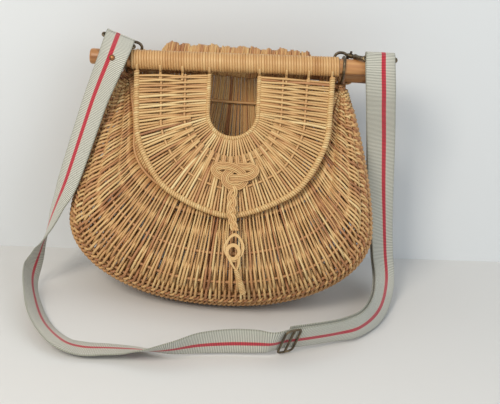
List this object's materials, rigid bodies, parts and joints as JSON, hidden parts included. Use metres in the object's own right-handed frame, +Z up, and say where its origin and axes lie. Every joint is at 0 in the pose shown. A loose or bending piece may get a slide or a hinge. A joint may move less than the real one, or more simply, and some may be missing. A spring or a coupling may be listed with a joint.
{
  "type": "fishing creel bag",
  "caption": "Half-moon wicker creel bag with a dowel-hung lid, fish slot, cane toggle closure and a striped webbing shoulder strap.",
  "frame": {"origin": "middle of the flat underside the bag stands on", "axes": "+X along the bars to the bag's right seen from the front, -Y out of the front, +Z up"},
  "size_m": [0.4153, 0.253, 0.2847],
  "materials": {
    "wicker": "satin",
    "dowel": "satin",
    "antique_metal": "aged",
    "webbing": "woven"
  },
  "bodies": {
    "basket": {"basket_shell": "wicker", "mouth_border": "wicker", "back_bar": "dowel", "back_bar_hump": "wicker", "left_ring": "antique_metal", "right_ring": "antique_metal", "left_clip": "antique_metal", "right_clip": "antique_metal", "strap_long": "webbing", "strap_return": "webbing", "strap_slide": "antique_metal", "strap_rivet": "antique_metal"},
    "lid": {"front_bar": "dowel", "bar_wrap": "wicker", "lid_panel": "wicker", "lid_rim": "wicker", "hole_rim": "wicker", "closure_knot": "wicker", "closure_plait": "wicker", "closure_loop": "wicker", "closure_peg": "wicker"}
  },
  "joints": [
    {"name": "lid_hinge", "type": "hinge", "parent": "basket", "child": "lid", "pos_m": [0, 0.037, 0.258], "axis": [-0.9993, 0, -0.0363], "range_deg": [0, 120]}
  ]
}
